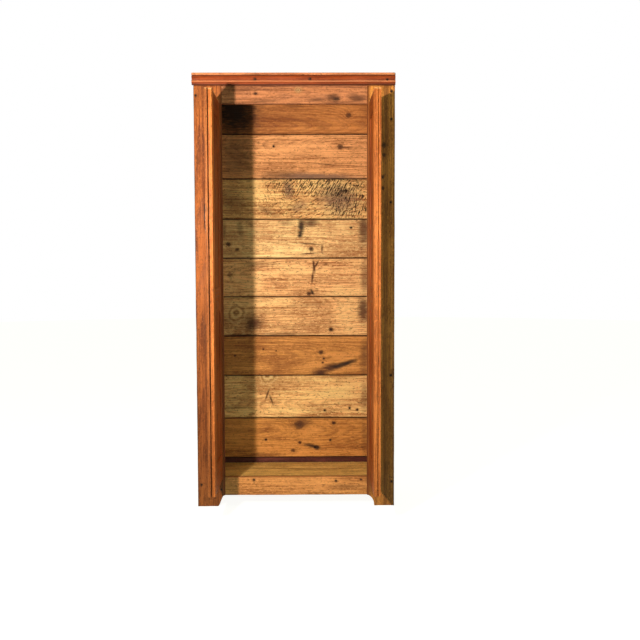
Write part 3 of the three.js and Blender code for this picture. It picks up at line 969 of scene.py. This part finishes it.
def add_top_board():
    seed, corner, chip = 53, 0.01, 0.004
    board = node_board("top_board", X, Y)
    low, high = board.low, board.high
    low.x -= LEFT_OVERHANG
    turns = [radians(-90 + i * 15) for i in range(7)]
    centre_x, centre_y = high.x - corner, low.y + corner
    rounded = [(centre_x + corner * cos(w), centre_y + corner * sin(w)) for w in turns]
    front = [(low.x, low.y + chip), (low.x + chip, low.y), *rounded]
    outline = worn_outline([*front, (high.x, high.y), (low.x, high.y)], 0.0012, seed)
    # A painted shade line along the foot of the top board's front edge, where it meets the moulding.
    quirk = (Z, low.z, 0.004, KNOT_RIM_AND_SHADE, 0.8)
    shaped_board("top_board", "carcass", board, outline, Z, TOP, seed, 0.0032,
                 slope=0.05, grime=0.0, lines=[quirk])


# ---- Sides, battens and floor ----


def side_outline(low, high, foot_at_front):
    """The board's edge (y, z), with its foot at the front or at the back."""
    foot, reach, rise = 0.058, 0.036, 0.05
    turns = [i * pi / 16 for i in range(9)]
    outer, inner, way = (low.y, high.y, 1) if foot_at_front else (high.y, low.y, -1)
    curve = [(outer + way * (foot + reach * (1 - cos(w))), rise * sin(w)) for w in turns]
    return [(outer, 0.0), *curve, (inner, rise), (inner, high.z), (outer, high.z)]


def add_side(side, first_seed):
    for offset, part in enumerate(("front", "rear")):
        node, seed = f"{side}_side_{part}_board", first_seed + offset
        board = node_board(node, Z, Y)
        outline = worn_outline(side_outline(board.low, board.high, part == "front"), 0.0008, seed)
        knots = [(0.31 + 0.2 * offset, 0.4, 0.013, 0.9), (0.72 - 0.1 * offset, 0.65, 0.01, 1.0)]
        shaped_board(node, "carcass", board, outline, X, SIDE, seed, 0.0016,
                     knots=knots, dirt_below=0.45, slope=0.04)
    for seed, place in enumerate(("floor", "middle", "top"), first_seed + 2):
        node = f"{side}_{place}_batten"
        straight_board(node, "carcass", node_board(node, Y, Z), SIDE, seed)


def add_floor():
    for seed, node in ((71, "floor_front_board"), (72, "floor_rear_board")):
        straight_board(node, "carcass", node_board(node, X, Y), FLOOR, seed, rounding=0.0018,
                       slope=0.06, grime=0.7)


# ---- Doors ----

REBATE_DEPTH = 0.018
REBATE_STEP = {"left": 0.0095, "right": 0.005}
QUIRK_WIDTH = 0.003
QUIRK_DEPTH = 0.005


def meeting_stile_outline(low, high, side):
    """The stile's section (x, y), stepped where the doors meet: the left door laps the right."""
    inner, outer = (high.x, low.x) if side == "left" else (low.x, high.x)
    way = 1 if outer > inner else -1
    step = inner + way * REBATE_DEPTH
    stepped = low.y + REBATE_STEP[side]
    inner_edge, outer_edge = (stepped, low.y) if side == "left" else (low.y, stepped)
    quirk = stepped + QUIRK_DEPTH
    groove = [(step - way * QUIRK_WIDTH, inner_edge)]
    groove += [(step - way * QUIRK_WIDTH * share, quirk) for share in (0.7, 0.1)]
    outer_part = [(step, outer_edge), (outer, outer_edge), (outer, high.y)]
    return [(inner, high.y), (inner, inner_edge), *groove, *outer_part]


def add_door(side, first_seed):
    body = f"{side}_door"
    hinge, meeting = (node_board(f"{body}_{part}_stile", Z, Y) for part in ("hinge", "meeting"))
    # A pale line along the top of each door board: a worn arris and a painted highlight.
    worn_top_highlight = (Z, meeting.high.z - 0.002, 0.007, ARRIS_WEAR_AND_HIGHLIGHT, 0.8)
    face = dict(polish=0.42, slope=0.03, contrast=0.5, rough=0.6, grime=0.0, lines=[worn_top_highlight])
    straight_board(f"{body}_hinge_stile", body, hinge, DOOR, first_seed, rounding=0.0018, wave=0.0004,
                   knots=[(0.43, 0.5, 0.01, 1.0)], **face)

    edge_lines = [worn_top_highlight]
    if side == "left":
        # Painted shade on the left door's meeting edge: a dark line in the rebate's groove, and a darker band
        # at its outer edge.
        edge_lines.append((X, meeting.low.x + 0.0125, 0.007, KNOT_RIM_AND_SHADE, 0.7))
        edge_lines.append((X, meeting.low.x + 0.003, 0.014, DIRT_AND_SHADE, 0.5))
    edge = dict(face, rough=1.0, contrast=0.7, dirt_below=0.25, lines=edge_lines)
    outline = meeting_stile_outline(meeting.low, meeting.high, side)
    shaped_board(f"{body}_meeting_stile", body, meeting, outline, Z, DOOR_EDGE, first_seed + 1, 0.0014,
                 knots=[(0.66, 0.45, 0.009, 1.0)], **edge)

    for seed, place in enumerate(("bottom", "lock", "top"), first_seed + 2):
        node = f"{body}_{place}_rail"
        board = node_board(node, Y, Z)
        board.low.y, board.high.y = meeting.high.y, hinge.low.y
        straight_board(node, body, board, DOOR, seed, rounding=0.0018, wave=0.0003, **face)

    knots = {"lower": [(0.3, 0.35, 0.014, 1.0), (0.62, 0.6, 0.011, 0.8)], "upper": [(0.55, 0.4, 0.013, 0.9)]}
    for seed, place in enumerate(knots, first_seed + 5):
        node = f"{body}_{place}_panel"
        straight_board(node, body, node_board(node, Z, Y), DOOR, seed, rounding=0.001, wave=0.0,
                       uneven=0.0007, knots=knots[place], **face)


# ---- Ironwork ----

IRON = old_iron("hinge_iron", rgb(70, 64, 58), rgb(88, 52, 34), 1)
NAIL_IRON = old_iron("nail_iron", rgb(34, 24, 20), rgb(56, 32, 22), 7)
PULL_IRON = old_iron("pull_iron", rgb(120, 100, 92), rgb(96, 44, 34), 4)


def round_row(centre, facing, radius, height, turns):
    """Points round a centre, at some height over a plane that faces one way."""
    to_world = Vector(facing).to_track_quat("Z", "Y").to_matrix()
    flat = [Vector((radius * cos(w), radius * sin(w), height)) for w in turns]
    return [Vector(centre) + to_world @ place for place in flat]


def disc(made, centre, facing, rings, sides=16):
    """A round form built up from (radius, height) rings."""
    turns = [2 * pi * i / sides for i in range(sides)]
    loft(made, [round_row(centre, facing, *ring, turns) for ring in rings])


def nail_head(made, centre, facing):
    """A cut nail's small domed head, sunk a little."""
    dome = [(0.0036, -0.001), (0.0038, 0.0001), (0.003, 0.0005), (0.0012, 0.0008)]
    disc(made, centre, facing, dome, sides=12)


def screw_head(made, centre, facing, turn):
    """A countersunk head: two half discs with the slot between them, over a sunk floor."""
    slot_edge, half_disc = radians(8), radians(164)
    disc(made, centre, facing, [(0.0033, -0.0004), (0.0033, 0.0001)], sides=18)
    for half in (0, 1):
        turns = [turn + pi * half + slot_edge + half_disc * i / 9 for i in range(10)]
        loft(made, [round_row(centre, facing, 0.0031, height, turns) for height in (0.0, 0.0005)])


def front_nails(made, board, spots, sunk=0.0):
    """Nail heads at fractions of a board, sunk so far behind its front."""
    for spot in spots:
        centre = Vector(board.low)
        centre[board.along], centre[board.across] = board.place(*spot)
        centre.y += sunk
        nail_head(made, centre, (0, -1, 0))


def rear_nails(made, board):
    """Two nail heads at each end of a back board, seen from behind."""
    for x in (board.low.x + 0.011, board.high.x - 0.011):
        for share in (0.2, 0.8):
            nail_head(made, (x, board.high.y, board.place(0, share)[1]), (0, 1, 0))


def side_nails(made, side):
    """Nail heads on the outside of a side, where its boards meet the battens."""
    front, rear = (node_board(f"{side}_side_{part}_board", Z, Y) for part in ("front", "rear"))
    outer, facing = (front.low.x, -1) if side == "left" else (front.high.x, 1)
    for place in ("floor", "middle", "top"):
        batten_low, batten_high = node_box(f"{side}_{place}_batten")
        z = (batten_low.z + batten_high.z) / 2
        for board in (front, rear):
            for y in (board.low.y + 0.03, board.high.y - 0.03):
                nail_head(made, (outer, y, z), (facing, 0, 0))


def add_nails():
    def build(made):
        front_nails(made, node_board("left_stile", Z, X), LEFT_STILE_NAILS)
        front_nails(made, node_board("right_stile", Z, X), RIGHT_STILE_NAILS)
        front_nails(made, rail_board("bottom_rail"), APRON_NAILS)
        for number, marks in BACK_MARKS.items():
            board = node_board(f"back_board_{number}", X, Z)
            front_nails(made, board, marks.get("nails", ()), sunk=0.0004)
            rear_nails(made, board)
        front_nails(made, node_board("cornice_moulding", X, Z), CORNICE_NAILS, sunk=HOLLOW_INSET)
        for side in ("left", "right"):
            side_nails(made, side)

    add_piece("carcass_nails", mesh_from("carcass_nails", build), NAIL_IRON, "carcass", [])


def add_hinge(side, place):
    """One butt hinge: a leaf and two knuckles on the stile, a leaf and one knuckle on the door."""
    frame_node, door_node = f"{side}_{place}_hinge_frame_leaf", f"{side}_{place}_hinge_door_leaf"
    low, high = node_box(frame_node)
    out, far_x, pin_edge = (-1, low.x, high.x) if side == "left" else (1, high.x, low.x)
    radius = (high.y - low.y) / 2
    pin_x, pin_y = pin_edge + out * radius, (low.y + high.y) / 2
    middle = (low.z + high.z) / 2
    half_knuckle, gap, thick, cap = 0.015, 0.0005, 0.002, 0.0006
    pin, pin_head = 0.002, [(0.0031, 0), (0.0029, 0.0009), (0.0012, 0.0015)]
    near_x = pin_x + out * (radius + gap)
    screws = [(0.66, 0.13), (0.4, 0.5), (0.66, 0.87)]
    turn = random.Random(f"{side}{place}")

    def barrel(made, z0, z1):
        rings = [(radius - cap, 0), (radius, cap), (radius, z1 - z0 - cap), (radius - cap, z1 - z0)]
        disc(made, (pin_x, pin_y, z0), (0, 0, 1), rings, sides=28)

    def plate(made, edge_x, cut_x, k0, k1, y0, y1):
        """The leaf's flat. Between k0 and k1 its edge moves from edge_x to cut_x."""
        outline = [(edge_x, low.z), (far_x, low.z), (far_x, high.z), (edge_x, high.z)]
        outline += [(edge_x, k1), (cut_x, k1), (cut_x, k0), (edge_x, k0)]
        loft(made, [[(x, y, z) for x, z in outline] for y in (y0, y1)])

    def screw_row(made, y, facing):
        for share_x, share_z in screws:
            x = near_x + (far_x - near_x) * share_x
            z = low.z + (high.z - low.z) * share_z
            screw_head(made, (x, y, z), (0, facing, 0), turn.uniform(0, pi))

    def frame_leaf(made):
        k0, k1 = middle - half_knuckle - gap, middle + half_knuckle + gap
        plate(made, pin_x, near_x, k0, k1, high.y - thick, high.y)
        barrel(made, low.z, k0)
        barrel(made, k1, high.z)
        disc(made, (pin_x, pin_y, k0), (0, 0, 1), [(pin, 0), (pin, k1 - k0)])
        for z, facing in ((low.z, -1), (high.z, 1)):
            disc(made, (pin_x, pin_y, z), (0, 0, facing), pin_head)
        screw_row(made, high.y - thick, -1)

    def door_leaf(made):
        k0, k1 = middle - half_knuckle, middle + half_knuckle
        plate(made, near_x, pin_x, k0, k1, low.y, low.y + thick)
        barrel(made, k0, k1)
        screw_row(made, low.y + thick, 1)

    for node, build, body in ((frame_node, frame_leaf, "carcass"), (door_node, door_leaf, f"{side}_door")):
        piece = add_piece(f"{node}_iron", mesh_from(f"{node}_iron", build), IRON, body, [node])
        smooth_piece(piece, angle=40)


def add_pull():
    """A plate with rounded ends, and a low bow with flared feet."""
    low, high = node_box("pull_plate")
    round_end = (high.y - low.y) / 2
    centre_y = (low.y + high.y) / 2
    turns = [pi * i / 10 for i in range(11)]
    outline = [
        (centre_y + way * round_end * cos(w), end - way * round_end * (1 - sin(w)))
        for way, end in ((1, high.z), (-1, low.z)) for w in turns
    ]
    mesh = prism_mesh("pull_plate_iron", outline, X, low.x, high.x)
    plate = add_piece("pull_plate_iron", mesh, PULL_IRON, "left_door", ["pull_plate"])
    round_arrises(plate, 0.0008)
    smooth_piece(plate)

    low, high = node_box("pull_grip")
    half_thick = 0.0016
    turns = [2 * pi * k / 12 for k in range(12)]
    rings = []
    for i in range(25):
        t = i / 24
        rise = sin(pi * t) ** 0.5
        broad = 0.0055 - 0.0022 * sin(pi * t)
        x = high.x - half_thick - (high.x - low.x - 2 * half_thick) * rise
        z = low.z + (high.z - low.z) * t
        rings.append([(x + half_thick * cos(w), centre_y + broad * sin(w), z) for w in turns])
    mesh = mesh_from("pull_grip_iron", lambda made: loft(made, rings))
    smooth_piece(add_piece("pull_grip_iron", mesh, PULL_IRON, "left_door", ["pull_grip"]), angle=60)


add_back()
add_left_stile()
add_right_stile()
add_rails()
add_cornice()
add_top_board()
add_side("left", 61)
add_side("right", 66)
add_floor()
add_door("left", 81)
add_door("right", 91)
add_nails()
for hinge_side in ("left", "right"):
    for hinge_place in ("lower", "middle", "upper"):
        add_hinge(hinge_side, hinge_place)
add_pull()


# ---- Floor of the studio ----


def add_studio_floor():
    """Pale all over: it glows a little, so that it stays even, and throws no light on the boards."""
    material, n, surface = new_material("studio_floor")
    mottle = n.noise(n.object_place(), scale=3, detail=3)
    n.feed(surface, {
        "Base Color": n.mix(mottle, rgb(130, 129, 127), rgb(138, 137, 135)),
        "Roughness": 0.9,
        "Emission Color": rgb(255, 255, 253),
        "Emission Strength": 0.92,
    })

    def build(made):
        bmesh.ops.create_circle(made, cap_ends=True, segments=64, radius=14)

    mesh = mesh_from("studio_floor", build)
    mesh.materials.append(material)
    floor = new_object("studio_floor", mesh)
    floor.visible_diffuse = False


add_studio_floor()
